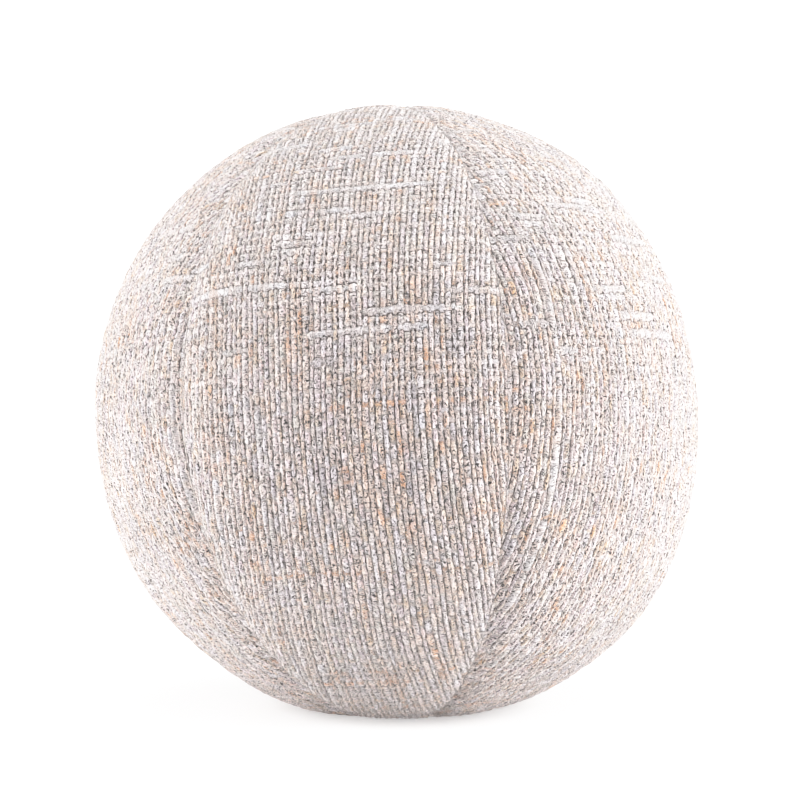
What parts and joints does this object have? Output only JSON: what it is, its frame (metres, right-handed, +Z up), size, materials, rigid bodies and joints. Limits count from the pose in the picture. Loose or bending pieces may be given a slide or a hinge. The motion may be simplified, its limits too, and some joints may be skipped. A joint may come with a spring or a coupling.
{
  "type": "ball cushion",
  "caption": "Round ball cushion of slub tweed, sewn from pointed-oval panels and softly filled, resting on a small flat spot.",
  "frame": {"origin": "on the resting surface, below the middle of the ball", "axes": "+Z up, -Y towards the viewer of the picture, +X to the viewer's right"},
  "size_m": [0.3002, 0.3002, 0.2995],
  "materials": {
    "tweed": "matt chunky plain-weave tweed, pinkish off-white with slubs and orange, blue and grey flecks"
  },
  "bodies": {
    "root": {"panel_1": "tweed", "panel_2": "tweed", "panel_3": "tweed", "panel_4": "tweed", "panel_5": "tweed", "panel_6": "tweed"}
  },
  "joints": []
}
